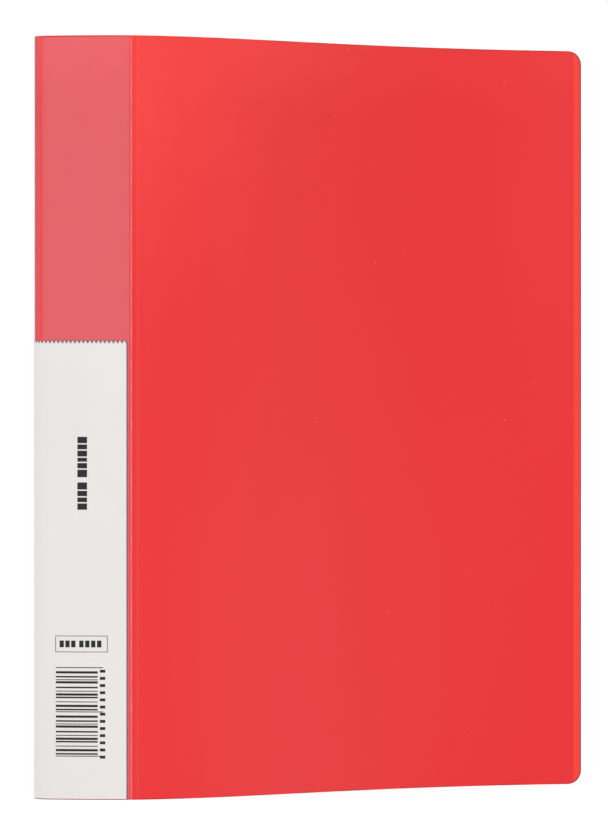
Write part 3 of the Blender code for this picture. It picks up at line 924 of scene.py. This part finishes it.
def film_finish():
    """Clear film: slightly milky, with sunk weld lines along its two long edges, whiter and denser
    partly from the knurled weld and partly as a painted highlight.
    """
    f = Finish("clear_pocket_film", follows_sheet=True)
    # The weld lines: the knurled weld's own whiter look, and a painted highlight along them.
    weld = f.x.near(FILM_RIGHT - 0.25 * MM, 0.22 * MM, 0.16 * MM)
    weld = weld.most(f.x.near(FILM_LEFT + WELD, 0.12 * MM, 0.14 * MM))
    knurl = f.noise(900, 1, 0.5).rise(0.52, 0.66)
    haze = f.noise(14, 3, 0.55)
    on_card = 1 - f.z.rise(CARD_HIGH - 2 * MM, CARD_HIGH - 0.8 * MM)
    on_card = on_card * (1 - f.x.rise(CARD_RIGHT - 0.2 * MM, CARD_RIGHT))
    # Painted reflection: the film's milky haze is drawn weaker over the rear bend and beside the right
    # weld.
    reflected_haze = f.x.rise(REAR_RUN + 10.6 * MM, REAR_RUN + 13.2 * MM) * 0.65 + 0.35
    reflected_haze = reflected_haze * (1 - f.x.rise(FILM_RIGHT - 1.6 * MM, FILM_RIGHT - 0.7 * MM) * 0.6)
    milky = (0.051 + haze * 0.018) * reflected_haze * (1 - on_card * 0.85)
    colour = f.mix(weld, (0.74, 0.82, 0.94), (1.0, 0.56, 0.50))
    return f.set(Base_Color=colour, Alpha=milky + weld * (0.10 + knurl * 0.16),
                 Roughness=0.22 + haze * 0.12, Specular_IOR_Level=0.45,
                 Normal=f.bump(f.noise(60, 3, 0.5), 0.05, 0.4 * MM))


def card_finish():
    f = Finish("white_label_card", follows_sheet=True)
    fibre = f.noise(2600, 4, 0.65)
    tone = f.noise(30, 3, 0.5)
    colour = f.mix(tone * 0.5 + fibre * 0.5, (0.750, 0.735, 0.710), (0.830, 0.810, 0.785))
    return f.set(Base_Color=colour, Roughness=0.72 + fibre * 0.12, Specular_IOR_Level=0.25,
                 Normal=f.bump(fibre, 0.25, 0.03 * MM))


def ink_finish():
    f = Finish("black_print", follows_sheet=True)
    speck = f.noise(3200, 3, 0.6)
    colour = f.mix(speck, (0.008, 0.007, 0.007), (0.026, 0.024, 0.024))
    return f.set(Base_Color=colour, Roughness=0.6 + speck * 0.2, Specular_IOR_Level=0.12)


def nickel_finish():
    f = Finish("bright_nickel")
    swirl = f.noise(900, 3, 0.6)
    smear = f.noise(70, 4, 0.6)
    colour = f.mix(smear, (0.70, 0.69, 0.66), (0.80, 0.79, 0.76))
    return f.set(Base_Color=colour, Metallic=1.0, Roughness=0.12 + smear * 0.14,
                 Normal=f.bump(swirl, 0.06, 0.03 * MM))


def steel_finish():
    f = Finish("zinc_plated_steel")
    drawn = f.noise(1500, 3, 0.6, (1, 1, 0.04))
    spot = f.noise(120, 4, 0.6)
    colour = f.mix(spot, (0.47, 0.49, 0.50), (0.62, 0.63, 0.63))
    return f.set(Base_Color=colour, Metallic=1.0, Roughness=0.28 + drawn * 0.2,
                 Normal=f.bump(drawn, 0.12, 0.03 * MM))


def studio_white_finish(name, glow):
    f = Finish(name)
    tone = f.noise(1.5, 2, 0.5)
    colour = f.mix(tone, (0.26, 0.26, 0.26), (0.28, 0.28, 0.28))
    return f.set(Base_Color=colour, Roughness=0.9, Specular_IOR_Level=0.1,
                 Emission_Color=(1.0, 1.0, 1.0), Emission_Strength=glow)


# ---------------------------------------------------------------- studio
def make_camera():
    data = bpy.data.cameras.new("camera")
    data.lens = 374.9
    data.clip_start = 0.1
    data.clip_end = 60
    camera = bpy.data.objects.new("camera", data)
    bpy.context.scene.collection.objects.link(camera)
    camera.location = (0.4047, -3.5715, 0.1571)
    camera.rotation_euler = (pi / 2, 0, radians(5.03))
    bpy.context.scene.camera = camera


def make_light(name, place, size, power):
    data = bpy.data.lights.new(name, "AREA")
    data.shape = "DISK"
    data.size = size
    data.energy = power
    light = bpy.data.objects.new(name, data)
    bpy.context.scene.collection.objects.link(light)
    light.location = place
    aim = Vector((0.05, 0.05, HEIGHT / 2)) - Vector(place)
    light.rotation_euler = aim.to_track_quat("-Z", "Y").to_euler()


def make_studio():
    """Pale floor, white backdrop far behind, even sky and two large soft lights."""
    scene = bpy.context.scene
    scene.view_settings.view_transform = "Standard"
    world = bpy.data.worlds.new("studio_sky")
    world.use_nodes = True
    sky = world.node_tree.nodes["Background"]
    sky.inputs["Color"].default_value = (1.0, 0.99, 0.98, 1.0)
    sky.inputs["Strength"].default_value = 0.80
    scene.world = world
    deselect()
    bpy.ops.mesh.primitive_plane_add(size=60, location=(0, 0, -0.1 * MM))
    floor = named("studio_floor")
    deselect()
    bpy.ops.mesh.primitive_plane_add(size=8, location=(-1, 14, 4 - MM), rotation=(pi / 2, 0, 0))
    backdrop = named("studio_backdrop")
    finish_with(floor, studio_white_finish("pale_floor", 0.84))
    finish_with(backdrop, studio_white_finish("pale_backdrop", 0.75))
    make_light("key", (-0.9, -2.4, 2.0), 1.6, 10)
    make_light("fill", (2.2, -1.7, 1.2), 1.6, 6)


# ---------------------------------------------------------------- the whole file
RED = red_sheet_finish()
FILM = film_finish()
CARD = card_finish()
INK = ink_finish()
NICKEL = nickel_finish()
STEEL = steel_finish()

make_camera()
make_studio()

sheet = make_rear_and_spine()
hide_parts("rear_cover", "spine_panel", "rear_living_hinge")

cover = make_front_cover()
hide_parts("front_cover", "front_living_hinge")

card = make_label_card()
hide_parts("spine_label_card")

printing = make_label_print()

film = make_pocket_film()
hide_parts("spine_pocket_film")

for layer in (sheet, card, film):
    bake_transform(layer)
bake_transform(cover)
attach(printing, "spine")

housing = make_housing()
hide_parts("ring_housing")
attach(housing, "rear")

for edge, way in (("spine_side", -1), ("fore_side", 1)):
    for end in ("upper", "lower"):
        ring = make_half_ring(end, edge, way)
        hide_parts(f"half_ring_{end}_{edge}")
        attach(ring, f"{edge}_ring_half")
    finish_with(frame["nodes"][f"blade_{edge}"], STEEL)

for end, side in (("upper", 1), ("lower", -1)):
    lever = make_lever(end, side)
    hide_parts(f"lever_{end}")
    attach(lever, f"{end}_lever")
    for piece, node, slot in ((make_pin(end), f"lever_pin_{end}", "nickel_plate"),
                              (make_post(end), f"mounting_post_{end}", "spring_steel"),
                              (make_rivet(end), f"rivet_{end}", "spring_steel")):
        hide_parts(node)
        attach(piece, "rear")

bpy.data.objects.remove(course)
deselect()
